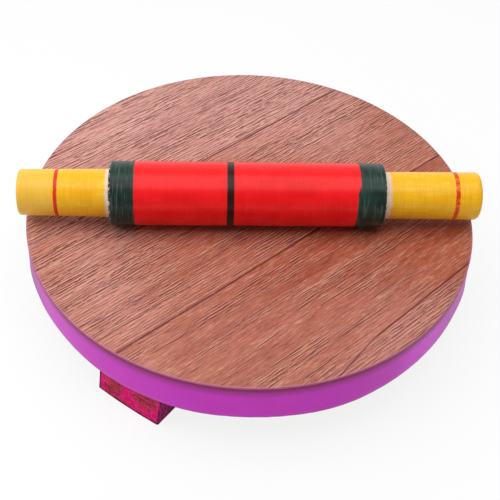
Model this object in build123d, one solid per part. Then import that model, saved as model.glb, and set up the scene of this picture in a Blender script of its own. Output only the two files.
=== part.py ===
from build123d import *
import math
import os

# A round rolling board on three block feet, with its turned rolling pin lying across it.
# Millimetres and degrees. The origin is on the board's axis, in the plane that the feet stand on.
# +Z is up, +X runs along the rolling pin, and -Y is the front of the board.

# Board: a core disc, a hard laminate on its top and a thin band round its edge
board_diameter = 254.0
core_thickness = 24.0
laminate_thickness = 1.0
laminate_bevel = 0.4
laminate_overhang = 0.3
band_thickness = 0.8
band_edge_radius = 0.25
glue_line = 0.1
band_seam_gap = 0.3
band_seam_angle = 90.0

# Feet: blocks sawn off a batten, evenly spaced round the board, each turned a little from square.
# The saw cuts slant in plan and lean off the upright, by two angles that all the feet share.
foot_names = ["foot_front_left", "foot_right", "foot_rear_left"]
first_foot_angle = -122.0
foot_skew = -4.6
foot_length = 41.4
foot_depth = 28.0
foot_height = 25.0
foot_end_slant = 2.0
foot_end_lean = 7.8
foot_inset = 3.3
foot_corner_radius = 1.0
foot_edge_chamfer = 0.5

# Screws: two countersunk wood screws hold each foot from below
screws_per_foot = 2
screw_pitch_along_foot = 22.0
screw_length = 38.0
screw_shank_diameter = 4.0
screw_root_diameter = 2.8
screw_thread_length = 22.0
screw_thread_pitch = 1.8
screw_tip_length = 4.0
screw_head_diameter = 7.8
screw_head_height = 2.6
screw_head_sink = 1.2
recess_width = 1.2
recess_length = 4.4
recess_depth = 1.4
screw_hole_clearance = 0.15
screw_bite_clearance = 0.05
pilot_end_clearance = 1.0

# Rolling pin: one turned piece, a thick barrel between two handles
barrel_diameter = 35.4
barrel_length = 150.6
barrel_edge_radius = 1.2
left_handle_length = 49.6
left_handle_end_diameter = 25.4
left_handle_neck_diameter = 26.6
right_handle_length = 53.9
right_handle_end_diameter = 26.8
right_handle_neck_diameter = 26.2
neck_fillet_radius = 0.8
left_end_radius = 1.0
right_end_radius = 1.2
pin_rest_gap = 0.3
pin_left_shoulder_x = -78.2
pin_axis_y = -8.7

# One overrun for every cut that passes through a face
cut_overrun = 1.0

foot_count = len(foot_names)
board_radius = board_diameter / 2
band_outer_radius = board_radius - laminate_overhang
core_radius = band_outer_radius - band_thickness - glue_line
core_bottom_z = foot_height
core_top_z = core_bottom_z + core_thickness
board_top_z = core_top_z + laminate_thickness
foot_reach = board_radius - foot_inset
pin_axis_z = board_top_z + pin_rest_gap + barrel_diameter / 2
screw_top_z = screw_head_sink + screw_length


def foot_location(index):
    """Places a foot's own frame: x outwards from its middle, y along the board's edge."""
    angle = first_foot_angle + index * 360 / foot_count
    face_x = foot_reach * math.cos(math.radians(angle))
    face_y = foot_reach * math.sin(math.radians(angle))
    outer_face = Location((face_x, face_y, 0), (0, 0, angle + foot_skew))
    return outer_face * Location((-foot_depth / 2, 0, 0))


def screw_offsets():
    """Each screw's place along a foot, evenly spaced about the foot's middle."""
    first = -screw_pitch_along_foot * (screws_per_foot - 1) / 2
    return [first + index * screw_pitch_along_foot for index in range(screws_per_foot)]


def screw_locations(index):
    """The axis of each screw of one foot, at the surface that the foot stands on."""
    return [foot_location(index) * Location((0, offset, 0)) for offset in screw_offsets()]


def screw_hole(radius, bottom_z, top_z):
    """A round cutter about a screw's axis between two heights."""
    height = top_z - bottom_z
    return Location((0, 0, bottom_z)) * Cylinder(
        radius, height, align=(Align.CENTER, Align.CENTER, Align.MIN)
    )


def make_board_core():
    """The disc that carries everything, with a blind pilot hole for each screw."""
    core = Location((0, 0, core_bottom_z)) * Cylinder(
        core_radius, core_thickness, align=(Align.CENTER, Align.CENTER, Align.MIN)
    )
    pilot_radius = screw_shank_diameter / 2 + screw_bite_clearance
    pilot_top_z = screw_top_z + pilot_end_clearance
    pilot = screw_hole(pilot_radius, core_bottom_z - cut_overrun, pilot_top_z)
    for index in range(foot_count):
        for place in screw_locations(index):
            core -= place * pilot
    return core


def make_top_laminate():
    """The hard sheet on the core, a little wider than the band, with its top edge eased."""
    sheet = Location((0, 0, core_top_z)) * Cylinder(
        board_radius, laminate_thickness, align=(Align.CENTER, Align.CENTER, Align.MIN)
    )
    top_edge = sheet.edges().group_by(Axis.Z)[-1]
    return chamfer(top_edge, laminate_bevel)


def make_edge_band():
    """The strip round the core, with eased outer corners and its two ends meeting at a seam."""
    inner_radius = band_outer_radius - band_thickness
    with BuildPart() as band:
        with BuildSketch(Plane.XZ):
            with Locations((inner_radius, core_bottom_z)):
                Rectangle(band_thickness, core_thickness, align=(Align.MIN, Align.MIN))
            outer_corners = vertices().group_by(Axis.X)[-1]
            fillet(outer_corners, band_edge_radius)
        seam_degrees = math.degrees(band_seam_gap / band_outer_radius)
        revolve(axis=Axis.Z, revolution_arc=360 - seam_degrees)
    start_angle = band_seam_angle + seam_degrees / 2
    return Location((0, 0, 0), (0, 0, start_angle)) * band.part


def make_foot_block():
    """A leaning block: its plan has two slanted ends and rounded corners, and is carried upwards
    along the lean, so that the block's middle height stays over the foot's own origin."""
    end_shift = foot_depth / 2 * math.tan(math.radians(foot_end_slant))
    half_depth = foot_depth / 2
    half_length = foot_length / 2
    plan = Polygon(
        (half_depth, -half_length - end_shift),
        (half_depth, half_length - end_shift),
        (-half_depth, half_length + end_shift),
        (-half_depth, -half_length + end_shift),
        align=None,
    )
    plan = fillet(plan.vertices(), foot_corner_radius)
    lean_shift = foot_height * math.tan(math.radians(foot_end_lean))
    upwards = Vector(0, lean_shift, foot_height)
    block = extrude(plan, amount=upwards.length, dir=upwards)
    block = Location((0, -lean_shift / 2, 0)) * block
    return chamfer(block.edges().group_by(Axis.Z)[0], foot_edge_chamfer)


def make_foot(index):
    """A sawn block with a stepped countersunk hole for each screw."""
    block = make_foot_block()
    hole_radius = screw_shank_diameter / 2 + screw_hole_clearance
    mouth_radius = screw_head_diameter / 2 + screw_hole_clearance
    through = screw_hole(hole_radius, -cut_overrun, foot_height + cut_overrun)
    mouth = screw_hole(mouth_radius, -cut_overrun, screw_head_sink)
    countersink = Location((0, 0, screw_head_sink)) * Cone(
        mouth_radius,
        hole_radius,
        screw_head_height,
        align=(Align.CENTER, Align.CENTER, Align.MIN),
    )
    for offset in screw_offsets():
        along = Location((0, offset, 0))
        block -= along * through
        block -= along * mouth
        block -= along * countersink
    return foot_location(index) * block


def screw_outline():
    """Half the screw's section: head cone, plain shank, ridged thread and pointed tip."""
    shank_radius = screw_shank_diameter / 2
    root_radius = screw_root_diameter / 2
    thread_start = screw_length - screw_thread_length
    thread_end = screw_length - screw_tip_length
    ridge_count = int((thread_end - thread_start) / screw_thread_pitch)
    points = [
        (0, 0),
        (screw_head_diameter / 2, 0),
        (shank_radius, screw_head_height),
        (shank_radius, thread_start),
    ]
    for ridge in range(ridge_count):
        crest = thread_start + (ridge + 1) * screw_thread_pitch
        points.append((root_radius, crest - screw_thread_pitch / 2))
        points.append((shank_radius, crest))
    points.append((root_radius, thread_end))
    points.append((0, screw_length))
    return points


def make_screw():
    """One countersunk wood screw along +Z from its head's face, with a cross recess."""
    with BuildPart() as screw:
        with BuildSketch(Plane.XZ):
            with BuildLine():
                Polyline(*screw_outline(), close=True)
            make_face()
        revolve(axis=Axis.Z)
    slot = Location((0, 0, -cut_overrun)) * Box(
        recess_length,
        recess_width,
        recess_depth + cut_overrun,
        align=(Align.CENTER, Align.CENTER, Align.MIN),
    )
    body = screw.part - slot
    body -= Location((0, 0, 0), (0, 0, 90)) * slot
    return body


def make_foot_screws():
    """All the screws, as separate solids in one group."""
    screw = Location((0, 0, screw_head_sink)) * make_screw()
    copies = []
    for index in range(foot_count):
        for place in screw_locations(index):
            copies.append(place * screw)
    return Compound(children=[copy.solid() for copy in copies])


def make_rolling_pin():
    """The turned pin: a half section through its axis, carried round that axis."""
    left_shoulder = pin_left_shoulder_x
    right_shoulder = left_shoulder + barrel_length
    left_end = left_shoulder - left_handle_length
    right_end = right_shoulder + right_handle_length
    outline = [
        (left_end, 0),
        (left_end, left_handle_end_diameter / 2),
        (left_shoulder, left_handle_neck_diameter / 2),
        (left_shoulder, barrel_diameter / 2),
        (right_shoulder, barrel_diameter / 2),
        (right_shoulder, right_handle_neck_diameter / 2),
        (right_end, right_handle_end_diameter / 2),
        (right_end, 0),
    ]
    corner_radii = [
        left_end_radius,
        neck_fillet_radius,
        barrel_edge_radius,
        barrel_edge_radius,
        neck_fillet_radius,
        right_end_radius,
    ]
    with BuildPart() as pin:
        with BuildSketch(Plane.XZ):
            with BuildLine():
                FilletPolyline(*outline, radius=corner_radii)
                Line(outline[-1], outline[0])
            make_face()
        revolve(axis=Axis.X)
    return Location((0, pin_axis_y, pin_axis_z)) * pin.part


def save(shape, node):
    """Writes one node, whose file has the node's name."""
    export_step(shape, os.path.join("parts", node + ".step"))


os.makedirs("parts", exist_ok=True)
save(make_board_core(), "board_core")
save(make_top_laminate(), "top_laminate")
save(make_edge_band(), "edge_band")
for foot_index, foot_name in enumerate(foot_names):
    save(make_foot(foot_index), foot_name)
save(make_foot_screws(), "foot_screws")
save(make_rolling_pin(), "rolling_pin")
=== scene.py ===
import math

import bmesh
import bpy
import numpy as np
from mathutils import Matrix, Vector


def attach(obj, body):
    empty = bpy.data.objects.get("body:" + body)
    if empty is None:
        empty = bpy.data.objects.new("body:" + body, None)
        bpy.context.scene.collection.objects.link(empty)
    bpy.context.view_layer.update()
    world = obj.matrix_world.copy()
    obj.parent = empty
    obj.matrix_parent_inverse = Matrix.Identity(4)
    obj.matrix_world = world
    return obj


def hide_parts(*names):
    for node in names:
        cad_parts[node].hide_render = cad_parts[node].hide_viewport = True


# A round rolling board on three block feet, with a painted rolling pin lying across it.
# Shapes are worked out in millimetres in the frame of the CAD model, and become metres in add_piece.
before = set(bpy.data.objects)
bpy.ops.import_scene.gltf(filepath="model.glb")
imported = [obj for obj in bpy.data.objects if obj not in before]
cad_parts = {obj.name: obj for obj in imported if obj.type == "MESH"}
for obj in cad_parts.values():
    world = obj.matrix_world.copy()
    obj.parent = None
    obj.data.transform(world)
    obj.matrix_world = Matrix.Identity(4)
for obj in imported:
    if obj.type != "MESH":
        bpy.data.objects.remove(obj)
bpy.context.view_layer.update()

MM = 0.001

# Board: laminate, edge strip and the heights of its parts
BOARD_RADIUS = 126.98
BOARD_BOTTOM = 25.0
CORE_TOP = 49.0
BOARD_TOP = 50.0
LAMINATE_BEVEL = 0.4
STRIP_OUTER = 126.7
STRIP_THICKNESS = 0.8
STRIP_SEAM_ANGLE = 90.0
STRIP_SEAM_GAP = 0.3
STRIP_LEAN = 0.18
STRIP_CORNER = 0.25
STRIP_STEPS = 420
BOARD_SIDES = 360

# Where the strip's lower edge stands off the board or lies in: angle, half width, distance
STRIP_BULGES = (
    (-170, 9, 1.3),
    (-142, 12, -0.85),
    (-106, 8, 0.5),
    (-71, 10, 0.75),
    (-46, 10, -0.25),
    (-18, 8, 1.5),
)

# Feet: sawn blocks with two countersunk screws each
FOOT_NAMES = ("foot_front_left", "foot_right", "foot_rear_left")
FOOT_FIRST_ANGLE = -122.0
FOOT_SKEW = -4.6
FOOT_REACH = 123.7
FOOT_LENGTH = 41.4
FOOT_DEPTH = 28.0
FOOT_HEIGHT = 25.0
FOOT_END_SLANT = math.tan(math.radians(2.0))
FOOT_END_LEAN = math.tan(math.radians(7.8))
FOOT_CORNER = 1.0
FOOT_CHAMFER = 0.5
FOOT_BOW = 0.62
SCREW_OFFSET = 11.0
SCREW_MOUTH = 4.05
SCREW_HOLE = 2.15
SCREW_SINK = 1.2
SCREW_CONE_TOP = 3.8

# Rolling pin: places along its axis and its radii
PIN_Y = -8.7
PIN_Z = 68.0
PIN_LEFT_END = -127.8
PIN_LEFT_SHOULDER = -78.2
PIN_RIGHT_SHOULDER = 72.4
PIN_RIGHT_END = 126.3
BARREL_RADIUS = 17.7
LEFT_END_RADIUS = 12.7
LEFT_NECK_RADIUS = 13.3
RIGHT_NECK_RADIUS = 13.1
RIGHT_END_RADIUS = 13.4
PIN_CORNER_RADII = (1.0, 0.8, 1.2, 1.2, 0.8, 2.2)
PIN_SIDES = 180

# Rolling pin: where its paint starts and stops along the axis
LEFT_YELLOW_STOP = (-81.0, -79.4)
RIGHT_YELLOW_START = (74.6, 76.8)
LEFT_GREEN_STOP = (-64.75, -64.25)
RIGHT_GREEN_START = (56.4, 56.9)
RING = (-14.2, -10.4)
LEFT_RED_LINE = (-108.0, -106.0)
RIGHT_RED_LINE = (111.2, 113.5)

# The print: its grain's direction from +X towards +Y, and the planks' limits in the grain's frame
GRAIN_ANGLE = math.radians(39.2)
REAR_JOINT = 48.6
MIDDLE_JOINT = -37.7
FRONT_JOINT = -112.1
FRONT_JOINT_SLOPE = 0.045


# Shapes

def smooth_noise(points, size, seed):
    """Soft random heights from -1 to 1: a random value at each corner of a lattice with cells of
    the given size, blended with the cubic 3t^2 - 2t^3 along each axis between the corners."""
    table = np.random.default_rng(seed).uniform(-1, 1, 4096)
    place = np.asarray(points, float) / np.asarray(size, float)
    corner = np.floor(place).astype(np.int64)
    part = place - corner
    part = part * part * (3 - 2 * part)
    total = np.zeros(len(place))
    for step in np.ndindex(2, 2, 2):
        index = (corner + step) @ np.array([73, 1259, 2633]) % 4096
        weight = np.prod(np.where(step, part, 1 - part), axis=1)
        total += table[index] * weight
    return total


def rounded_outline(corners, radii, spacing):
    """A polyline whose inner corners are arcs. Each arc touches both of its runs, at a distance of
    radius * tan(half the turn) from the corner, and each run is divided evenly by the spacing."""
    corners = np.asarray(corners, float)
    pieces = []
    start = corners[0]
    for index in range(1, len(corners)):
        corner = corners[index]
        back = corners[index - 1] - corner
        back /= np.linalg.norm(back)
        if index == len(corners) - 1:
            finish, arc = corner, corner[None]
        else:
            ahead = corners[index + 1] - corner
            ahead /= np.linalg.norm(ahead)
            radius = radii[index - 1]
            half_angle = math.acos(np.clip(back @ ahead, -1, 1)) / 2
            reach = radius / math.tan(half_angle)
            middle = back + ahead
            middle *= radius / math.sin(half_angle) / np.linalg.norm(middle)
            finish = corner + back * reach
            from_centre = np.array([back * reach - middle, ahead * reach - middle])
            sweep = math.pi - 2 * half_angle
            turn = np.linspace(0, 1, max(4, int(radius * sweep / 0.25)))[:, None]
            arc = (
                np.sin((1 - turn) * sweep) * from_centre[0] + np.sin(turn * sweep) * from_centre[1]
            ) / math.sin(sweep) + corner + middle
        count = max(2, int(np.linalg.norm(finish - start) / spacing[index - 1]) + 1)
        run = start + (finish - start) * np.linspace(0, 1, count)[:, None]
        pieces += [run[:-1], arc[:-1]]
        start = arc[-1]
    return np.vstack(pieces + [corners[-1:]])


def grid_faces(rows, columns, close_rows=False, close_columns=True):
    """Four-cornered faces between the neighbours of a grid of rows * columns points."""
    row = np.arange(rows if close_rows else rows - 1)[:, None]
    column = np.arange(columns if close_columns else columns - 1)[None, :]
    next_row = (row + 1) % rows
    next_column = (column + 1) % columns
    corners = [
        row * columns + column,
        row * columns + next_column,
        next_row * columns + next_column,
        next_row * columns + column,
    ]
    return np.stack(np.broadcast_arrays(*corners), axis=-1).reshape(-1, 4)


def fan_faces(pole, ring, flip):
    """Triangles from one pole point to a closed ring of points."""
    ring = np.asarray(ring)
    following = np.roll(ring, -1)
    pair = (following, ring) if flip else (ring, following)
    return np.stack([np.full(len(ring), pole), *pair], axis=-1)


def turned_surface(profile, sides, place):
    """A profile of (distance along the axis, radius) carried round the axis. Its two ends are poles
    on the axis. place(along, radius, angle) gives the points of the turned shape in the frame."""
    angle = np.arange(sides) * 2 * math.pi / sides
    inner = profile[1:-1]
    along, turn = np.broadcast_arrays(inner[:, :1], angle[None, :])
    radius = np.broadcast_to(inner[:, 1:], along.shape)
    points = place(along.ravel(), radius.ravel(), turn.ravel())
    poles = place(profile[[0, -1], 0], profile[[0, -1], 1], np.zeros(2))
    points = np.vstack([points, poles])
    count = len(inner) * sides
    faces = [
        *grid_faces(len(inner), sides),
        *fan_faces(count, np.arange(sides), flip=True),
        *fan_faces(count + 1, np.arange(count - sides, count), flip=False),
    ]
    return points, faces


def rolling_pin_surface():
    """The pin's half section carried round its axis. The radius loses a slow waviness along the
    axis, an ovalness round it and fine tool marks, and each shoulder's edge is a little chipped."""
    outline = [
        (PIN_LEFT_END, 0),
        (PIN_LEFT_END, LEFT_END_RADIUS),
        (PIN_LEFT_SHOULDER, LEFT_NECK_RADIUS),
        (PIN_LEFT_SHOULDER, BARREL_RADIUS),
        (PIN_RIGHT_SHOULDER, BARREL_RADIUS),
        (PIN_RIGHT_SHOULDER, RIGHT_NECK_RADIUS),
        (PIN_RIGHT_END, RIGHT_END_RADIUS),
        (PIN_RIGHT_END, 0),
    ]
    profile = rounded_outline(outline, PIN_CORNER_RADII, (1.0, 0.8, 0.5, 0.65, 0.5, 0.8, 1.0))
    return turned_surface(profile, PIN_SIDES, pin_point)


def pin_point(along, radius, angle):
    """A point of the pin: the profile's point, less the relief of a hand-turned surface."""
    lengthwise = smooth_noise(np.stack([along, 0 * along, 0 * along], -1), 9.0, 11)
    tool_marks = smooth_noise(np.stack([along, 0 * along, 0 * along], -1), 1.7, 12)
    round_it = np.cos(2 * angle + along / 60) + 0.5 * np.cos(3 * angle + 1 - along / 45)
    relief = 0.03 * (1 - lengthwise) + 0.008 * (1 - tool_marks) + 0.02 * (1.5 - round_it)
    share = np.clip(radius / 6, 0, 1)
    on_skin = np.stack([along, radius * np.cos(angle), radius * np.sin(angle)], -1)
    chips = np.clip(smooth_noise(on_skin, (30, 1.1, 1.1), 13) - 0.05, 0, 1)
    chips += np.clip(smooth_noise(on_skin, (30, 2.6, 2.6), 14) - 0.2, 0, 1)
    depth = np.clip((radius - 15.2) / 2.5, 0, 1)
    left_edge = np.exp(-((along - PIN_LEFT_SHOULDER) / 1.2) ** 2) * depth
    right_edge = np.exp(-((along - PIN_RIGHT_SHOULDER) / 0.8) ** 2) * depth
    moved = along + chips * (0.55 * left_edge - 0.2 * right_edge)
    radius = radius - share * relief - chips * (0.25 * left_edge + 0.1 * right_edge)
    return np.stack(
        [moved, PIN_Y + radius * np.cos(angle), PIN_Z + radius * np.sin(angle)], axis=-1
    )


def laminate_surface():
    """The sheet's half section, from its lower middle round its bevelled edge to its upper middle,
    carried round the board's axis."""
    outline = [
        (CORE_TOP, 0),
        (CORE_TOP, BOARD_RADIUS),
        (BOARD_TOP - LAMINATE_BEVEL, BOARD_RADIUS),
        (BOARD_TOP, BOARD_RADIUS - LAMINATE_BEVEL),
        (BOARD_TOP, 0),
    ]
    radii = (0.05, 0.12, 0.12)
    profile = rounded_outline(outline, radii, (9.0, 0.3, 0.3, 9.0))
    return turned_surface(profile, BOARD_SIDES, upright_point)


def upright_point(along, radius, angle):
    """A point turned about the board's axis. The angle runs clockwise from +X, so that a profile
    that rises has its faces outwards."""
    return np.stack([radius * np.cos(angle), -radius * np.sin(angle), along], axis=-1)


def edge_strip_surface():
    """The strip's section carried round the board from one side of the seam to the other. Towards
    its lower edge it leans out and stands off in soft bulges, distance * exp(-(turn / width)^2)
    each. It has a soft waviness, and its lower edge is trimmed a little unevenly."""
    inner = STRIP_OUTER - STRIP_THICKNESS
    corners = [
        (inner, BOARD_BOTTOM + 12),
        (inner, BOARD_BOTTOM),
        (STRIP_OUTER, BOARD_BOTTOM),
        (STRIP_OUTER, CORE_TOP),
        (inner, CORE_TOP),
        (inner, BOARD_BOTTOM + 12),
    ]
    radii = (0.05, STRIP_CORNER, STRIP_CORNER, 0.05)
    section = rounded_outline(corners, radii, (12, 0.5, 3, 0.5, 12))[:-1]
    half_gap = STRIP_SEAM_GAP / 2 / STRIP_OUTER
    seam = math.radians(STRIP_SEAM_ANGLE)
    angle = np.linspace(seam + half_gap, seam + 2 * math.pi - half_gap, STRIP_STEPS)
    turn, radius = np.broadcast_arrays(angle[:, None], section[None, :, 0])
    height = np.broadcast_to(section[None, :, 1], turn.shape)
    turn, radius, height = turn.ravel(), radius.ravel(), height.ravel()
    around = np.stack([STRIP_OUTER * np.cos(turn), STRIP_OUTER * np.sin(turn), height], -1)
    radius = radius + 0.04 * (1 + smooth_noise(around, (26, 26, 14), 21))
    stand_off = np.full(len(turn), STRIP_LEAN)
    for place, width, distance in STRIP_BULGES:
        away = (np.degrees(turn) - place + 180) % 360 - 180
        stand_off += distance * np.exp(-(away / width) ** 2)
    radius = radius + stand_off * ((CORE_TOP - height) / (CORE_TOP - BOARD_BOTTOM)) ** 1.2
    lower = np.exp(-((height - BOARD_BOTTOM) / 0.6) ** 2)
    height = height + 0.12 * lower * (1 + smooth_noise(around * (1, 1, 0), 3.0, 22))
    points = np.stack([radius * np.cos(turn), radius * np.sin(turn), height], axis=-1)
    columns = len(section)
    faces = list(grid_faces(len(angle), columns))
    faces = [face[::-1] for face in faces]
    faces += [np.arange(columns), np.arange(len(points) - columns, len(points))[::-1]]
    return points, faces


def foot_surface(index):
    """A block sawn off a batten. Its plan is a rounded outline whose ends lie at
    y = end - slant * x + lean * (z - middle height). Each half of its lower and upper face is one
    sheet from the outline inwards to the screw's stepped hole, and the sides are the outline carried
    upwards. The outer side is bowed: it falls back by bow * (y / half the length)^2. Every face is set
    back by a soft, sawn unevenness."""
    half_depth, half_length = FOOT_DEPTH / 2, FOOT_LENGTH / 2
    middle_row = np.linspace(half_depth, -half_depth, 33)
    middle_row = np.stack([middle_row, 0 * middle_row], -1)
    wrap = rounded_outline(
        [(-half_depth, 0), (-half_depth, half_length), (half_depth, half_length), (half_depth, 0)],
        (FOOT_CORNER, FOOT_CORNER),
        (0.6, 0.6, 0.6),
    )
    half_outline = np.vstack([middle_row[:-1], wrap[:-1]])
    inset = half_outline * (
        1 - FOOT_CHAMFER / half_depth,
        1 - FOOT_CHAMFER / half_length,
    )
    centre = np.array([0.0, SCREW_OFFSET])
    ray = half_outline - centre
    ray /= np.linalg.norm(ray, axis=1)[:, None]

    halves = []
    for side in (1, -1):
        lower = slanted(inset * side, 0.0)
        upper = slanted(half_outline * side, FOOT_HEIGHT)
        mouth = side * (centre + SCREW_MOUTH * ray)
        top_ring = side * (centre + SCREW_HOLE * ray)
        spread = np.linspace(1, 0, 14)[:, None, None]
        roof_spread = np.linspace(0, 1, 6)[1:, None, None]
        hole = (
            (SCREW_MOUTH, 0.4),
            (SCREW_MOUTH, SCREW_SINK),
            (SCREW_HOLE, SCREW_CONE_TOP),
            (SCREW_HOLE, FOOT_HEIGHT),
        )
        rows = [at_level(spread * lower + (1 - spread) * mouth, 0.0)]
        rows += [at_level((side * (centre + radius * ray))[None], level) for radius, level in hole]
        rows += [at_level(roof_spread * upper + (1 - roof_spread) * top_ring, FOOT_HEIGHT)]
        halves.append(np.vstack(rows))
    half_faces = grid_faces(len(halves[0]), len(half_outline))

    outline = np.vstack([wrap[:-1], -wrap[:-1]])
    levels = np.concatenate([[0, FOOT_CHAMFER], np.linspace(FOOT_CHAMFER, FOOT_HEIGHT, 40)[1:]])
    rings = []
    for level in levels:
        chamfer = FOOT_CHAMFER if level == 0 else 0.0
        ring = outline * (1 - chamfer / half_depth, 1 - chamfer / half_length)
        rings.append(at_level(slanted(ring, level)[None], level))
    rings = np.vstack(rings)
    side_faces = grid_faces(len(levels), len(outline))

    count = halves[0].shape[0] * halves[0].shape[1]
    points = np.vstack([part.reshape(-1, 3) for part in (*halves, rings)])
    faces = [*half_faces, *(half_faces + count), *(side_faces + 2 * count)]

    sawn = 0.5 * smooth_noise(points, (9, 9, 5), 31 + index)
    sawn += 0.35 * smooth_noise(points, (1.6, 1.6, 1.1), 41 + index)
    sawn += 0.15 * smooth_noise(points, (0.7, 0.7, 0.7), 51 + index)
    upright = points[:, :2] - slanted(0 * points[:, :2], points[:, 2])
    upright[:, 1] += FOOT_END_SLANT * upright[:, 0]
    across = np.abs(upright) / (half_depth, half_length)
    near_side = np.clip((np.maximum(across[:, 0], across[:, 1]) - 0.9) / 0.1, 0, 1)
    inwards = 0.09 * (1 + sawn) * near_side
    points[:, 0] -= inwards * upright[:, 0] / half_depth
    points[:, 1] -= inwards * upright[:, 1] / half_length
    outer_side = np.clip(points[:, 0] / half_depth, 0, 1) ** 2
    points[:, 0] -= FOOT_BOW * (upright[:, 1] / half_length) ** 2 * outer_side

    angle = math.radians(FOOT_FIRST_ANGLE + index * 360 / len(FOOT_NAMES))
    turn = angle + math.radians(FOOT_SKEW)
    local_x = points[:, 0] - half_depth
    out = np.empty_like(points)
    out[:, 0] = FOOT_REACH * math.cos(angle) + local_x * math.cos(turn) - points[:, 1] * math.sin(turn)
    out[:, 1] = FOOT_REACH * math.sin(angle) + local_x * math.sin(turn) + points[:, 1] * math.cos(turn)
    out[:, 2] = points[:, 2]
    return out, faces


def slanted(plan, level):
    """Shifts points of a foot's plan along the foot, by the slant of the saw cut in plan and by its
    lean at a height: y + lean * (z - half the height) - slant * x."""
    shift = FOOT_END_LEAN * (level - FOOT_HEIGHT / 2) - FOOT_END_SLANT * plan[..., 0]
    return np.stack([plan[..., 0], plan[..., 1] + shift], axis=-1)


def at_level(plan, level):
    """Rows of plan points lifted to one height."""
    return np.dstack([plan, np.full(plan.shape[:2], level)])


def add_piece(name, surface, finish, node, body):
    """Makes one piece from points in millimetres, welds its seams, points its faces outwards, and
    lets it stand for its CAD node."""
    points, faces = surface
    mesh = bpy.data.meshes.new(name)
    mesh.from_pydata((points * MM).tolist(), [], [[int(i) for i in face] for face in faces])
    weld(mesh)
    mesh.materials.append(finish)
    piece = bpy.data.objects.new(name, mesh)
    bpy.context.scene.collection.objects.link(piece)
    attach(piece, body)
    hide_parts(node)
    return piece


def weld(mesh):
    """Merges points that share a place, closes the mesh and turns its faces outwards."""
    work = bmesh.new()
    work.from_mesh(mesh)
    bmesh.ops.remove_doubles(work, verts=work.verts, dist=1e-6)
    bmesh.ops.recalc_face_normals(work, faces=work.faces)
    work.to_mesh(mesh)
    work.free()
    mesh.polygons.foreach_set("use_smooth", [True] * len(mesh.polygons))
    mesh.set_sharp_from_angle(angle=math.radians(35))


# Finishes

class Finish:
    """One node material. Each method adds a node and gives back its output, so that a finish reads
    as a recipe. Positions are millimetres on Object coordinates."""

    def __init__(self, name):
        self.material = bpy.data.materials.new(name)
        self.material.use_nodes = True
        self.tree = self.material.node_tree
        self.shader = self.tree.nodes["Principled BSDF"]
        self.object_point = self.add("TexCoord", output="Object")

    def add(self, kind, inputs=None, output=0, **settings):
        node = self.tree.nodes.new("ShaderNode" + kind)
        for key, value in settings.items():
            setattr(node, key, value)
        for key, value in (inputs or {}).items():
            self.feed(node.inputs[key], value)
        return node.outputs[output]

    def feed(self, socket, value):
        if isinstance(value, bpy.types.NodeSocket):
            self.tree.links.new(value, socket)
        else:
            socket.default_value = value

    def place(self, centre=(0, 0, 0), turn=0.0):
        """The point in millimetres from a centre, turned about Z."""
        scaled = self.add(
            "Mapping", {"Vector": self.object_point, "Scale": (1000, 1000, 1000),
                        "Location": [-value for value in centre]}
        )
        return self.add("Mapping", {"Vector": scaled, "Rotation": (0, 0, turn)})

    def split(self, point):
        node = self.tree.nodes.new("ShaderNodeSeparateXYZ")
        self.tree.links.new(point, node.inputs[0])
        return node.outputs[0], node.outputs[1], node.outputs[2]

    def join(self, x, y, z):
        return self.add("CombineXYZ", {0: x, 1: y, 2: z})

    def calc(self, operation, a, b=0.0, c=0.0, clamp=False):
        return self.add("Math", {0: a, 1: b, 2: c}, operation=operation, use_clamp=clamp)

    def plus(self, a, b):
        return self.calc("ADD", a, b)

    def minus(self, a, b):
        return self.calc("SUBTRACT", a, b)

    def times(self, a, b):
        return self.calc("MULTIPLY", a, b)

    def blend_in(self, value, low, high, start=0.0, end=1.0):
        """A soft step of the value, from start at low to end at high."""
        return self.add(
            "MapRange",
            {"Value": value, "From Min": low, "From Max": high, "To Min": start, "To Max": end},
            interpolation_type="SMOOTHSTEP",
        )

    def between(self, value, start, end, soft):
        """One between two places, with edges that fade over the soft length."""
        rise = self.blend_in(value, start - soft / 2, start + soft / 2)
        fall = self.blend_in(value, end - soft / 2, end + soft / 2, 1.0, 0.0)
        return self.times(rise, fall)

    def noise(self, point, size, detail=2.0, roughness=0.5, shift=(0, 0, 0)):
        """Cloud noise about 0.5 whose features have the given size along each axis."""
        mapped = self.add(
            "Mapping",
            {"Vector": point, "Scale": [1 / value for value in size], "Location": shift},
        )
        return self.add(
            "TexNoise", {"Vector": mapped, "Scale": 1.0, "Detail": detail, "Roughness": roughness}
        )

    def mix(self, factor, under, over):
        return self.add("Mix", {0: factor, 6: under, 7: over}, output=2, data_type="RGBA")

    def ramp(self, value, stops):
        node = self.tree.nodes.new("ShaderNodeValToRGB")
        self.tree.links.new(value, node.inputs[0])
        elements = node.color_ramp.elements
        while len(elements) < len(stops):
            elements.new(0.5)
        for element, (position, colour) in zip(elements, stops):
            element.position = position
            element.color = (*colour, 1)
        return node.outputs[0]

    def bump(self, height, depth):
        """Relief whose height of 1 stands for the depth in millimetres."""
        return self.add("Bump", {"Height": height, "Distance": depth * MM, "Strength": 1.0})

    def close(self, colour, roughness, normal, **fixed):
        """Feeds the shader. Fixed values are set on its own sockets."""
        self.feed(self.shader.inputs["Base Color"], colour)
        self.feed(self.shader.inputs["Roughness"], roughness)
        self.feed(self.shader.inputs["Normal"], normal)
        for key, value in fixed.items():
            self.shader.inputs[key.replace("_", " ")].default_value = value
        return self.material


def rgb(*levels):
    """A linear colour from 0-255 display levels."""
    share = np.array(levels, float) / 255
    linear = np.where(share <= 0.04045, share / 12.92, ((share + 0.055) / 1.055) ** 2.4)
    return tuple(float(value) for value in linear)


def rgba(*levels):
    return (*rgb(*levels), 1.0)


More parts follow.
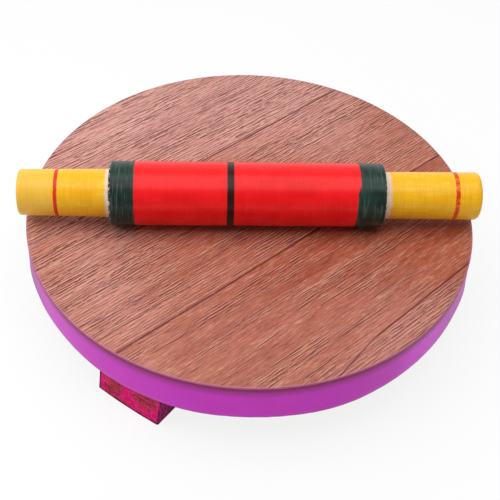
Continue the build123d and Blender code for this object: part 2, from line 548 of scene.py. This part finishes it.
# Plank joints and cracks printed on the laminate, in the grain's frame: start, end, width, darkness
PRINTED_LINES = (
    ((2, 48.35), (118, 48.9), 1.0, 0.85),
    ((-124, -37.6), (-58, -38.0), 0.95, 0.8),
    ((-58, -38.0), (20, -37.2), 0.95, 0.9),
    ((20, -37.2), (122, -37.4), 0.9, 0.9),
    ((-12, -112.3), (68, -108.8), 0.9, 0.85),
    ((-46, -118.9), (-10, -111.8), 0.7, 0.7),
    ((-41, -103.2), (2, -98.4), 0.45, 0.45),
    ((35, -71.0), (57, -68.9), 0.4, 0.4),
)


def printed_line(f, along, across, start, end, width, darkness):
    """A dark line between two points of the grain's frame, tapered at its ends."""
    slope = (end[1] - start[1]) / (end[0] - start[0])
    level = f.calc("MULTIPLY_ADD", along, slope, start[1] - slope * start[0])
    away = f.calc("ABSOLUTE", f.minus(across, level))
    core = f.blend_in(away, width * 0.25, width * 0.85, 1.0, 0.0)
    inside = f.between(along, start[0], end[0], 3.0)
    return f.times(f.times(core, inside), darkness)


def laminate_finish():
    """Printed wood: planks with their own tone, slow bands, close dark lines with a pale line beside
    each, partly the print's streak and partly a painted highlight along the line's relief, longer
    lines further apart, fine fibres, and dark joints; satin, with a faint relief. The tone is painted
    paler towards the left and the rear, and a little along the front, as painted sheen and light."""
    f = Finish("wood_print_laminate")
    flat = f.place(turn=-GRAIN_ANGLE)
    along, across, height = f.split(flat)
    wander = f.noise(flat, (70, 30, 30), detail=1.0)
    across = f.calc("MULTIPLY_ADD", f.minus(wander, 0.5), 1.6, across)
    front_joint = f.calc("MULTIPLY_ADD", along, FRONT_JOINT_SLOPE, FRONT_JOINT)
    behind_rear = f.calc("GREATER_THAN", across, REAR_JOINT)
    behind_middle = f.calc("GREATER_THAN", across, MIDDLE_JOINT)
    behind_front = f.calc("GREATER_THAN", across, front_joint)
    plank = f.plus(f.plus(behind_rear, behind_middle), behind_front)
    grain = f.join(f.calc("MULTIPLY_ADD", plank, 61.0, along), across, f.times(plank, 23.0))
    joints = None
    for start, end, width, darkness in PRINTED_LINES:
        line = printed_line(f, along, across, start, end, width, darkness)
        joints = line if joints is None else f.calc("MAXIMUM", joints, line)

    # The front plank is calmer than the others: its lines come in a few patches
    front_plank = f.between(across, -112.0, -38.5, 4.0)
    patches = f.noise(grain, (60, 12, 9), detail=1.0, shift=(9, 1, 4))
    show = f.blend_in(patches, 0.36, 0.60, 0.55, 1.0)
    show_front = f.blend_in(patches, 0.50, 0.64, 0.15, 0.9)
    show = f.plus(show, f.times(front_plank, f.minus(show_front, show)))
    # Each family of dark lines has pale lines beside it: partly the print's light streaks, partly a
    # painted highlight along the dark lines' relief.
    broad_lines, broad_pale = grain_lines(f, grain, 2.7, 0.78, 9, (15, 5, 1.2), 0.42)
    dark_lines, pale_lines = grain_lines(f, grain, 1.7, 0.52, 7, (12, 4, 0.9), 0.40)
    long_lines, long_pale = grain_lines(f, grain, 7.5, 0.5, 34, (44, 16, 2.2), 0.49)
    towards_rear = f.blend_in(across, -20.0, 20.0, 0.25, 1.0)
    broad_lines = f.times(broad_lines, towards_rear)
    broad_pale = f.times(broad_pale, towards_rear)
    strokes = f.noise(grain, (7.5, 0.62, 5), detail=2.0, roughness=0.6, shift=(3, 5, 7))
    pores = f.times(f.blend_in(strokes, 0.58, 0.70), show)
    fibres = f.noise(grain, (7.5, 0.6, 5), detail=3.0, roughness=0.7, shift=(6, 2, 3))
    bands = f.noise(grain, (120, 7.0, 9), detail=2.0, roughness=0.5)
    figure = f.noise(grain, (24, 6, 9), detail=3.0, roughness=0.6, shift=(4, 8, 2))
    speckle = f.noise(grain, (2.4, 0.8, 2), detail=1.0, roughness=0.6, shift=(8, 3, 5))

    tone = f.calc("MULTIPLY_ADD", f.minus(bands, 0.5), 0.45, 0.5)
    tone = f.calc("MULTIPLY_ADD", f.minus(fibres, 0.5), 1.35, tone)
    tone = f.calc("MULTIPLY_ADD", f.minus(figure, 0.5), 0.3, tone)
    tone = f.calc("MULTIPLY_ADD", f.minus(speckle, 0.5), 0.2, tone)
    plank_tone = f.ramp(
        f.times(plank, 0.3333),
        ((0.0, rgb(172, 93, 74)), (0.3333, rgb(170, 83, 56)), (0.6667, rgb(179, 97, 74)),
         (1.0, rgb(188, 117, 104))),
    )
    x, y, level = f.split(f.place())
    radius = f.calc("SQRT", f.plus(f.times(x, x), f.times(y, y)))
    # Painted sheen and light: the print's tone is mixed paler towards the left, the rear, the front
    # and the right front.
    left_painted_sheen = f.times(
        f.blend_in(x, -100.0, -30.0, 0.5, 0.0), f.blend_in(radius, 98.0, 122.0, 1.0, 0.4)
    )
    front_painted_sheen = f.blend_in(y, -90.0, -50.0, 0.10, 0.0)
    right_painted_sheen = f.times(f.blend_in(x, 30.0, 80.0), f.blend_in(y, -80.0, -50.0, 0.14, 0.0))
    front_painted_sheen = f.plus(front_painted_sheen, right_painted_sheen)
    rear_painted_sheen = f.times(f.blend_in(y, 10.0, 80.0, 0.0, 0.55), f.blend_in(x, 50.0, 90.0, 1.0, 0.1))
    # fade holds all of this painted sheen and light together.
    fade = f.plus(f.plus(left_painted_sheen, rear_painted_sheen), front_painted_sheen)
    plank_tone = f.mix(fade, plank_tone, rgba(220, 158, 148))
    darker = f.mix(0.78, plank_tone, rgba(98, 28, 16))
    lighter = f.mix(0.36, plank_tone, rgba(255, 216, 188))
    colour = f.mix(f.blend_in(tone, 0.5, 0.15), plank_tone, darker)
    colour = f.mix(f.blend_in(tone, 0.5, 0.85), colour, lighter)
    dark_lines = f.calc("MAXIMUM", dark_lines, broad_lines)
    pale_lines = f.calc("MAXIMUM", pale_lines, broad_pale)
    pale = f.calc("MAXIMUM", f.times(pale_lines, show), f.times(long_pale, 0.6))
    # Painted highlight beside the dark lines, partly the print's light streaks.
    pale_tone = f.mix(0.45, plank_tone, rgba(255, 214, 190))
    colour = f.mix(f.times(pale, 0.7), colour, pale_tone)
    dark = f.calc("MAXIMUM", f.times(dark_lines, show), long_lines)
    dark = f.calc("MAXIMUM", dark, f.times(pores, 0.8))
    line_tone = f.mix(0.92, plank_tone, rgba(86, 14, 8))
    colour = f.mix(f.times(dark, 0.88), colour, line_tone)
    colour = f.mix(joints, colour, rgba(92, 3, 2))

    # The sheet's rim: a slightly darker ring on top, then its cut edge and bevel, painted pale pink,
    # partly as their own colour and partly as a painted highlight
    ring = f.between(radius, 124.6, 126.2, 1.0)
    colour = f.mix(f.times(ring, 0.08), colour, rgba(110, 60, 56))
    # Painted highlight, partly the sheet's own colour, on the bevel and the side.
    colour = f.mix(f.blend_in(radius, 126.0, 126.6, 0.0, 0.6), colour, rgba(206, 112, 160))
    edge = f.blend_in(height, BOARD_TOP - 0.3, BOARD_TOP - 0.1, 1.0, 0.0)
    colour = f.mix(edge, colour, rgba(174, 82, 114))
    roughness = f.calc("MULTIPLY_ADD", fibres, 0.25, 0.28)
    roughness = f.calc("MULTIPLY_ADD", f.calc("MAXIMUM", dark, joints), 0.5, roughness, clamp=True)
    relief = f.minus(f.times(fibres, 0.4), f.plus(dark, f.times(joints, 1.2)))
    return f.close(colour, roughness, f.bump(relief, 0.05), IOR=1.5)


def grain_lines(f, grain, spacing, width, length, bend, drawn_from):
    """Lines along the grain, one in each spacing, at a random place in it. Each is softly bent and
    broken into lengths of its own. Gives the dark lines and the pale ones that lie beside them,
    by the distance in millimetres from the line's middle. The pale ones are partly the print's
    light streaks and partly a painted highlight on one side of each dark line's relief."""
    along, across, plank = f.split(grain)
    bending = f.noise(grain, (bend[0], bend[1], 9), detail=1.0, shift=(spacing, 2, 8))
    moved = f.calc("MULTIPLY_ADD", f.minus(bending, 0.5), 2 * bend[2], across)
    phase = f.calc("DIVIDE", moved, spacing)
    number = f.calc("FLOOR", phase)
    chance = f.add("TexWhiteNoise", {"W": f.plus(number, plank)}, noise_dimensions="1D")
    middle = f.plus(number, f.calc("MULTIPLY_ADD", chance, 0.4, 0.3))
    away = f.times(f.minus(phase, middle), spacing)
    lengths = f.noise(
        f.join(along, f.times(number, 5.3), plank),
        (length, 1.7, 9), detail=2.0, roughness=0.6, shift=(spacing, 4, 1),
    )
    drawn = f.blend_in(lengths, drawn_from, drawn_from + 0.12)
    dark = f.blend_in(f.calc("ABSOLUTE", away), width * 0.3, width * 0.7, 1.0, 0.0)
    beside = f.calc("ABSOLUTE", f.minus(away, width * 1.1))
    pale = f.blend_in(beside, width * 0.25, width * 0.65, 1.0, 0.0)
    return f.times(dark, drawn), f.times(pale, drawn)


def strip_finish():
    """Purple plastic strip with painted shade towards the laminate, along its lower edge and at its
    far left, painted light at one stretch on the front right, and soft rub marks and a faint waviness."""
    f = Finish("purple_strip")
    point = f.place()
    x, y, height = f.split(point)
    clouds = f.noise(point, (16, 16, 9), detail=2.0)
    rubs = f.noise(point, (5, 5, 1.2), detail=3.0, roughness=0.6, shift=(3, 1, 2))
    colour = f.mix(clouds, rgba(205, 36, 194), rgba(217, 43, 206))
    colour = f.mix(f.blend_in(rubs, 0.6, 0.75, 0.0, 0.25), colour, rgba(226, 84, 218))
    angle = f.calc("ARCTAN2", y, x)
    # Painted light: a paler stretch on the front right.
    lighter = f.between(angle, math.radians(-52), math.radians(-37), 0.2)
    colour = f.mix(f.times(lighter, 0.6), colour, rgba(248, 60, 246))
    # Painted shade: the strip is darkened towards its far left.
    towards_left = f.plus(f.times(x, -0.99 / STRIP_OUTER), f.times(y, -0.14 / STRIP_OUTER))
    duller = f.blend_in(towards_left, 0.92, 0.99, 0.0, 0.45)
    colour = f.mix(duller, colour, rgba(120, 30, 104))
    # Painted shade under the laminate's edge: darker towards the top of the strip.
    shade = f.add("MapRange", {"Value": height, "From Min": 41.5, "From Max": 48.6})
    colour = f.mix(shade, colour, rgba(134, 20, 80))
    # Painted shade along the strip's lower edge.
    trimmed = f.blend_in(height, 25.1, 25.9, 1.0, 0.0)
    colour = f.mix(f.times(trimmed, 0.75), colour, rgba(96, 34, 92))
    roughness = f.calc("MULTIPLY_ADD", rubs, 0.2, 0.32)
    relief = f.noise(point, (2.2, 2.2, 4), detail=2.0, shift=(1, 1, 9))
    return f.close(colour, roughness, f.bump(relief, 0.03), IOR=1.32)


def core_finish():
    """Pressed board: pale brown with short darker fibres and a matt, dusty surface."""
    f = Finish("pressed_core")
    point = f.place()
    fibres = f.noise(point, (4.5, 1.6, 1.6), detail=4.0, roughness=0.65)
    clouds = f.noise(point, (30, 22, 20), detail=2.0, shift=(4, 4, 4))
    specks = f.noise(point, (1.1, 1.1, 1.1), detail=2.0, shift=(9, 2, 2))
    colour = f.ramp(
        f.calc("MULTIPLY_ADD", f.minus(clouds, 0.5), 0.6, fibres),
        ((0.25, rgb(112, 80, 52)), (0.5, rgb(150, 114, 78)), (0.8, rgb(182, 148, 108))),
    )
    colour = f.mix(f.blend_in(specks, 0.62, 0.72, 0.0, 0.6), colour, rgba(84, 58, 38))
    roughness = f.calc("MULTIPLY_ADD", fibres, 0.2, 0.68)
    return f.close(colour, roughness, f.bump(fibres, 0.12), IOR=1.45)


def foot_finish(index):
    """Sawn wood under thin, worn magenta paint, in the foot's own frame. Brown-red wood shows in
    rubbed patches, saw marks run upright and pits hold dark. Both ends are painted dark purple
    with end-grain rings, as painted shade."""
    f = Finish("worn_magenta_" + FOOT_NAMES[index])
    angle = math.radians(FOOT_FIRST_ANGLE + index * 360 / len(FOOT_NAMES))
    turn = angle + math.radians(FOOT_SKEW)
    face = (FOOT_REACH * math.cos(angle), FOOT_REACH * math.sin(angle), 0.0)
    middle = (face[0] - FOOT_DEPTH / 2 * math.cos(turn), face[1] - FOOT_DEPTH / 2 * math.sin(turn), 0)
    point = f.place(centre=middle, turn=-turn)
    x, y, z = f.split(point)
    lean = f.minus(f.times(z, FOOT_END_LEAN), FOOT_END_LEAN * FOOT_HEIGHT / 2)
    upright_y = f.plus(f.minus(y, lean), f.times(x, FOOT_END_SLANT))
    # Painted shade: both ends of the foot are darkened towards dark purple.
    shaded_ends = f.calc(
        "MAXIMUM",
        f.blend_in(upright_y, FOOT_LENGTH / 2 - 1.5, FOOT_LENGTH / 2 - 0.6),
        f.blend_in(upright_y, -FOOT_LENGTH / 2 + 1.3, -FOOT_LENGTH / 2 + 2.4, 1.0, 0.0),
    )
    rubbed = f.noise(point, (9, 8, 7), detail=3.0, roughness=0.6, shift=(2, 0, 3))
    grain = f.noise(point, (9, 9, 1.3), detail=3.0, roughness=0.6, shift=(2, 7, 3))
    saw_marks = f.noise(point, (2.2, 0.8, 6), detail=2.0, roughness=0.6, shift=(1, 3, 2))
    pits = f.noise(point, (2.6, 2.4, 1.7), detail=3.0, roughness=0.7, shift=(5, 5, 1))
    specks = f.noise(point, (1.8, 1.3, 1.0), detail=2.0, roughness=0.6, shift=(8, 1, 6))

    paint = f.mix(f.blend_in(saw_marks, 0.35, 0.65), rgba(216, 4, 88), rgba(250, 24, 144))
    drift = f.calc("MULTIPLY_ADD", f.minus(rubbed, 0.5), 14.0, upright_y)
    left_patch = f.times(f.between(drift, -14.0, -4.0, 7.0), f.blend_in(z, 1.0, 9.0, 0.4, 1.0))
    right_patch = f.times(f.between(drift, 4.0, 19.0, 7.0), f.blend_in(z, 7.0, 16.0))
    patches = f.calc("MAXIMUM", left_patch, right_patch)
    uneven = f.calc("MULTIPLY_ADD", f.minus(grain, 0.5), 1.3, f.minus(rubbed, 0.5))
    worn = f.blend_in(f.calc("MULTIPLY_ADD", uneven, 2.0, patches), 0.25, 0.85)
    wood = f.mix(f.blend_in(grain, 0.4, 0.6), rgba(112, 6, 26), rgba(188, 58, 62))
    colour = f.mix(f.times(worn, 0.9), paint, wood)
    colour = f.mix(f.blend_in(specks, 0.54, 0.66, 0.0, 0.45), colour, rgba(255, 74, 168))
    colour = f.mix(f.blend_in(pits, 0.57, 0.66, 0.0, 0.9), colour, rgba(84, 2, 26))
    edge_height = f.calc("MULTIPLY_ADD", f.minus(rubbed, 0.5), -4.0, z)
    colour = f.mix(f.blend_in(edge_height, 0.9, 2.2, 0.9, 0.0), colour, rgba(62, 4, 20))
    rings = f.noise(point, (1.1, 6, 5), detail=2.0, roughness=0.5, shift=(4, 4, 4))
    # Painted shade on the ends, with end-grain rings in it.
    end_shade_paint = f.mix(f.blend_in(rings, 0.4, 0.6), rgba(88, 0, 54), rgba(190, 8, 128))
    colour = f.mix(shaded_ends, colour, end_shade_paint)
    roughness = f.calc("MULTIPLY_ADD", grain, 0.25, 0.55)
    relief = f.minus(f.plus(grain, f.times(saw_marks, 0.5)), f.blend_in(pits, 0.55, 0.7))
    return f.close(colour, roughness, f.bump(relief, 0.18), IOR=1.18)


def screw_finish():
    """Yellowish zinc plate with fine turning marks and a few duller spots."""
    f = Finish("zinc_plate")
    point = f.place()
    spots = f.noise(point, (2.2, 2.2, 2.2), detail=3.0)
    marks = f.noise(point, (0.5, 0.5, 0.12), detail=1.0, shift=(1, 2, 3))
    colour = f.mix(spots, rgba(176, 166, 140), rgba(212, 206, 190))
    roughness = f.calc("MULTIPLY_ADD", spots, 0.3, 0.2)
    return f.close(colour, roughness, f.bump(marks, 0.01), Metallic=1.0)


def pin_finish():
    """Lathe-painted wood: red barrel, dark green bands and ring, yellow handles with a red line,
    and bare wood where the yellow stops short of the shoulders."""
    f = Finish("painted_turned_wood")
    point = f.place(centre=(0, PIN_Y, PIN_Z))
    x, y, z = f.split(point)
    angle = f.calc("ARCTAN2", z, y)
    rings = f.noise(point, (0.8, 14, 14), detail=2.0, roughness=0.5)
    lengthwise = f.noise(point, (26, 1.3, 1.3), detail=3.0, roughness=0.6, shift=(1, 3, 5))
    dashes = f.noise(point, (4.5, 0.8, 0.8), detail=2.0, roughness=0.55, shift=(7, 3, 1))
    clouds = f.noise(point, (14, 9, 9), detail=2.0, shift=(2, 8, 6))
    wobble = f.noise(point, (40, 7, 7), detail=2.0, shift=(6, 2, 4))
    ragged = f.noise(point, (12, 1.5, 1.5), detail=3.0, roughness=0.65, shift=(4, 4, 8))
    edge_x = f.calc("MULTIPLY_ADD", f.minus(wobble, 0.5), 1.6, x)
    ragged_x = f.calc("MULTIPLY_ADD", f.minus(ragged, 0.5), 1.5, edge_x)

    # Bare wood, seen at the ends and beside the shoulders
    bare = f.mix(lengthwise, rgba(240, 208, 184), rgba(250, 230, 212))
    bare = f.mix(f.blend_in(dashes, 0.55, 0.7, 0.0, 0.3), bare, rgba(206, 162, 132))
    colour = bare

    # Yellow: brushed along, a little thinner towards the left end
    yellow = f.mix(f.blend_in(lengthwise, 0.3, 0.7), rgba(250, 186, 25), rgba(254, 196, 36))
    yellow = f.mix(f.blend_in(clouds, 0.45, 0.7, 0.0, 0.5), yellow, rgba(246, 176, 18))
    yellow = f.mix(f.blend_in(rings, 0.38, 0.56, 0.3, 0.0), yellow, rgba(232, 156, 16))
    smears = f.noise(point, (6, 2.5, 2.5), detail=3.0, roughness=0.6, shift=(9, 9, 2))
    yellow = f.mix(f.blend_in(smears, 0.55, 0.72, 0.0, 0.35), yellow, rgba(255, 214, 84))
    thin_left = f.blend_in(edge_x, -112.0, -104.0, 0.4, 0.0)
    yellow = f.mix(thin_left, yellow, rgba(240, 198, 96))
    left_yellow = f.blend_in(ragged_x, *LEFT_YELLOW_STOP, 1.0, 0.0)
    right_yellow = f.blend_in(ragged_x, *RIGHT_YELLOW_START)
    colour = f.mix(f.calc("MAXIMUM", left_yellow, right_yellow), colour, yellow)

    # Red barrel
    red = f.mix(f.blend_in(clouds, 0.35, 0.65), rgba(238, 16, 20), rgba(250, 24, 28))
    red = f.mix(f.blend_in(dashes, 0.56, 0.72, 0.0, 0.15), red, rgba(204, 8, 14))
    red = f.mix(f.blend_in(rings, 0.55, 0.75, 0.0, 0.3), red, rgba(252, 52, 56))
    red = f.mix(f.blend_in(rings, 0.34, 0.48, 0.1, 0.0), red, rgba(206, 8, 14))
    radius = f.calc("SQRT", f.plus(f.times(y, y), f.times(z, z)))
    barrel_skin = f.blend_in(radius, 13.9, 14.4)
    inside_edges = f.between(x, PIN_LEFT_SHOULDER + 0.3, PIN_RIGHT_SHOULDER - 0.3, 0.2)
    colour = f.mix(f.times(inside_edges, barrel_skin), colour, red)

    # Green bands and the ring; the right band's inner edge steps aside near the top
    bulge = f.times(f.between(angle, math.radians(50), math.radians(128), 0.35), 1.7)
    right_x = f.minus(f.calc("MULTIPLY_ADD", f.minus(ragged, 0.5), 0.7, x), bulge)
    left_x = f.calc("MULTIPLY_ADD", f.minus(ragged, 0.5), 0.6, x)
    green = f.mix(f.blend_in(clouds, 0.35, 0.65), rgba(22, 38, 34), rgba(32, 56, 48))
    green = f.mix(f.blend_in(rings, 0.52, 0.66, 0.0, 0.6), green, rgba(70, 98, 88))
    green = f.mix(f.blend_in(dashes, 0.6, 0.75, 0.0, 0.4), green, rgba(14, 22, 20))
    left_band = f.blend_in(left_x, *LEFT_GREEN_STOP, 1.0, 0.0)
    right_band = f.blend_in(right_x, *RIGHT_GREEN_START)
    ring_x = f.calc("MULTIPLY_ADD", f.minus(wobble, 0.5), 0.5, x)
    ring = f.between(ring_x, *RING, 0.4)
    ring_paint = f.mix(f.blend_in(rings, 0.5, 0.72, 0.0, 0.5), rgba(40, 14, 8), rgba(74, 38, 28))
    past_edges = f.between(x, PIN_LEFT_SHOULDER - 0.4, PIN_RIGHT_SHOULDER + 0.4, 0.2)
    on_skin = f.times(barrel_skin, past_edges)
    bands = f.times(f.calc("MAXIMUM", left_band, right_band), on_skin)
    colour = f.mix(bands, colour, green)
    colour = f.mix(ring, colour, ring_paint)

    # Paint chipped off the barrel's edges
    chips = f.noise(point, (6, 1.5, 1.5), detail=2.0, roughness=0.6, shift=(2, 6, 9))
    at_edges = f.plus(
        f.times(f.between(x, PIN_LEFT_SHOULDER - 0.5, PIN_LEFT_SHOULDER + 0.9, 0.5), 0.9),
        f.between(x, PIN_RIGHT_SHOULDER - 0.5, PIN_RIGHT_SHOULDER + 0.5, 0.4),
    )
    chipped = f.times(f.times(at_edges, f.blend_in(radius, 16.7, 17.0)), f.blend_in(chips, 0.5, 0.6))
    colour = f.mix(chipped, colour, rgba(236, 206, 186))

    # Red lines round the handles
    line_x = f.calc("MULTIPLY_ADD", f.minus(ragged, 0.5), 0.5, x)
    left_line = f.between(line_x, *LEFT_RED_LINE, 0.35)
    patchy_x = f.calc("MULTIPLY_ADD", f.minus(ragged, 0.5), 1.3, x)
    right_line = f.times(
        f.between(patchy_x, *RIGHT_RED_LINE, 0.6), f.blend_in(smears, 0.36, 0.52, 0.6, 1.0)
    )
    colour = f.mix(f.calc("MAXIMUM", left_line, right_line), colour, rgba(222, 54, 24))

    roughness = f.calc("MULTIPLY_ADD", rings, 0.14, 0.24)
    painted = f.calc("MAXIMUM", f.calc("MAXIMUM", left_yellow, right_yellow), on_skin)
    bare_mask = f.calc("SUBTRACT", 1.0, painted, clamp=True)
    roughness = f.calc("MULTIPLY_ADD", bare_mask, 0.35, roughness)
    relief = f.plus(f.times(rings, 0.6), f.times(lengthwise, 0.4))
    return f.close(colour, roughness, f.bump(relief, 0.01), IOR=1.31)


# The part

strip = strip_finish()
add_piece("laminate_top", laminate_surface(), laminate_finish(), "top_laminate", "board")
add_piece("edge_strip", edge_strip_surface(), strip, "edge_band", "board")
for foot_index, foot_name in enumerate(FOOT_NAMES):
    paint = foot_finish(foot_index)
    add_piece("sawn_" + foot_name, foot_surface(foot_index), paint, foot_name, "board")
add_piece("turned_pin", rolling_pin_surface(), pin_finish(), "rolling_pin", "pin")
for node_name, finish in (("board_core", core_finish()), ("foot_screws", screw_finish())):
    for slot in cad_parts[node_name].material_slots:
        slot.material = finish


# Floor, light and camera, in metres
FLOOR_REACH = 60.0
FLOOR_LEVEL = -0.00005
FLOOR_GLOW_SHARE = 0.85
PANEL_SIZE = (1.7, 0.86)
PANEL_PLACE = (-0.35, -0.10, 0.95)
PANEL_LEVEL = 2.55
CAMERA_PLACE = (-0.0241, -0.3944, 0.4286)
CAMERA_PITCH, CAMERA_HEADING, CAMERA_ROLL = (math.radians(turn) for turn in (46.39, 3.626, 3.0))
PHOTO_WIDTH_PIXELS = 500
FOCAL_PIXELS = 950
SENSOR_WIDTH = 36.0

# Light of the room: direction, cosine where it starts and is full, and its strength at both
SKY_LOBES = (
    ((-0.35, 0.94, 0.0), 0.1, 0.95, 0.14, 1.1),
    ((-0.57, -0.82, 0.1), 0.5, 0.95, 0.0, 0.25),
)


def add_floor():
    """A wide pale floor. The camera and mirror rays see part of it as plain white, and the rest
    keeps the object's shadow. It is clear from below, where the feet's faces show."""
    f = Finish("pale_floor")
    diffuse = f.add("BsdfDiffuse", {"Color": (0.93, 0.93, 0.93, 1)})
    glow = f.add("Emission", {"Color": (1, 1, 1, 1), "Strength": 1.0})
    rays = f.tree.nodes.new("ShaderNodeLightPath").outputs
    seen = f.plus(
        f.plus(rays["Is Camera Ray"], rays["Is Glossy Ray"]), rays["Is Transmission Ray"]
    )
    share = f.calc("MULTIPLY", seen, FLOOR_GLOW_SHARE, clamp=True)
    upper_side = f.add("MixShader", {0: share, 1: diffuse, 2: glow})
    from_below = f.tree.nodes.new("ShaderNodeNewGeometry").outputs["Backfacing"]
    clear = f.add("BsdfTransparent", {})
    both_sides = f.add("MixShader", {0: from_below, 1: upper_side, 2: clear})
    f.feed(f.tree.nodes["Material Output"].inputs["Surface"], both_sides)
    mesh = bpy.data.meshes.new("floor")
    signs = ((-1, -1), (1, -1), (1, 1), (-1, 1))
    corners = [(x * FLOOR_REACH, y * FLOOR_REACH, FLOOR_LEVEL) for x, y in signs]
    mesh.from_pydata(corners, [], [(0, 1, 2, 3)])
    mesh.materials.append(f.material)
    floor = bpy.data.objects.new("floor", mesh)
    bpy.context.scene.collection.objects.link(floor)


def set_sky():
    """The pale room round the part: bright behind it, fair on its front left, and dim elsewhere on
    the camera's side. The level depends on the direction alone."""
    world = bpy.data.worlds.new("soft_room")
    bpy.context.scene.world = world
    world.use_nodes = True
    tree = world.node_tree
    background = tree.nodes["Background"]
    direction = tree.nodes.new("ShaderNodeTexCoord").outputs["Generated"]
    strength = None
    for towards, start, end, low, high in SKY_LOBES:
        facing = tree.nodes.new("ShaderNodeVectorMath")
        facing.operation = "DOT_PRODUCT"
        facing.inputs[1].default_value = towards
        tree.links.new(direction, facing.inputs[0])
        level = tree.nodes.new("ShaderNodeMapRange")
        level.interpolation_type = "SMOOTHSTEP"
        for key, value in (("From Min", start), ("From Max", end), ("To Min", low), ("To Max", high)):
            level.inputs[key].default_value = value
        tree.links.new(facing.outputs["Value"], level.inputs["Value"])
        if strength is None:
            strength = level.outputs["Result"]
        else:
            total = tree.nodes.new("ShaderNodeMath")
            tree.links.new(strength, total.inputs[0])
            tree.links.new(level.outputs["Result"], total.inputs[1])
            strength = total.outputs[0]
    tree.links.new(strength, background.inputs["Strength"])
    background.inputs["Color"].default_value = (1, 1, 1, 1)


def add_ceiling_panel():
    """A soft panel over the part. Its front edge lies 30 degrees past the zenith on the camera's
    side, where the pin's gloss shows it end."""
    width, depth = PANEL_SIZE
    data = bpy.data.lights.new("ceiling_panel", "AREA")
    data.shape = "RECTANGLE"
    data.size, data.size_y = width, depth
    data.energy = PANEL_LEVEL * math.pi * width * depth
    panel = bpy.data.objects.new("ceiling_panel", data)
    panel.location = PANEL_PLACE
    bpy.context.scene.collection.objects.link(panel)


def add_camera():
    """The photograph's viewpoint: its place, its three angles and its lens."""
    flat_reach = math.cos(CAMERA_PITCH)
    forward = Vector(
        (
            math.sin(CAMERA_HEADING) * flat_reach,
            math.cos(CAMERA_HEADING) * flat_reach,
            -math.sin(CAMERA_PITCH),
        )
    )
    level_right = Vector((math.cos(CAMERA_HEADING), -math.sin(CAMERA_HEADING), 0))
    level_up = level_right.cross(forward)
    right = level_right * math.cos(CAMERA_ROLL) + level_up * math.sin(CAMERA_ROLL)
    up = level_up * math.cos(CAMERA_ROLL) - level_right * math.sin(CAMERA_ROLL)
    camera_data = bpy.data.cameras.new("camera")
    camera_data.sensor_width = SENSOR_WIDTH
    camera_data.lens = SENSOR_WIDTH * FOCAL_PIXELS / PHOTO_WIDTH_PIXELS
    camera_data.clip_start = 0.01
    camera = bpy.data.objects.new("camera", camera_data)
    rows = [(*row, place) for *row, place in zip(right, up, -forward, CAMERA_PLACE)]
    camera.matrix_world = Matrix(rows + [(0, 0, 0, 1)])
    bpy.context.scene.collection.objects.link(camera)
    bpy.context.scene.camera = camera


add_floor()
set_sky()
add_ceiling_panel()
add_camera()
bpy.context.scene.view_settings.view_transform = "Standard"
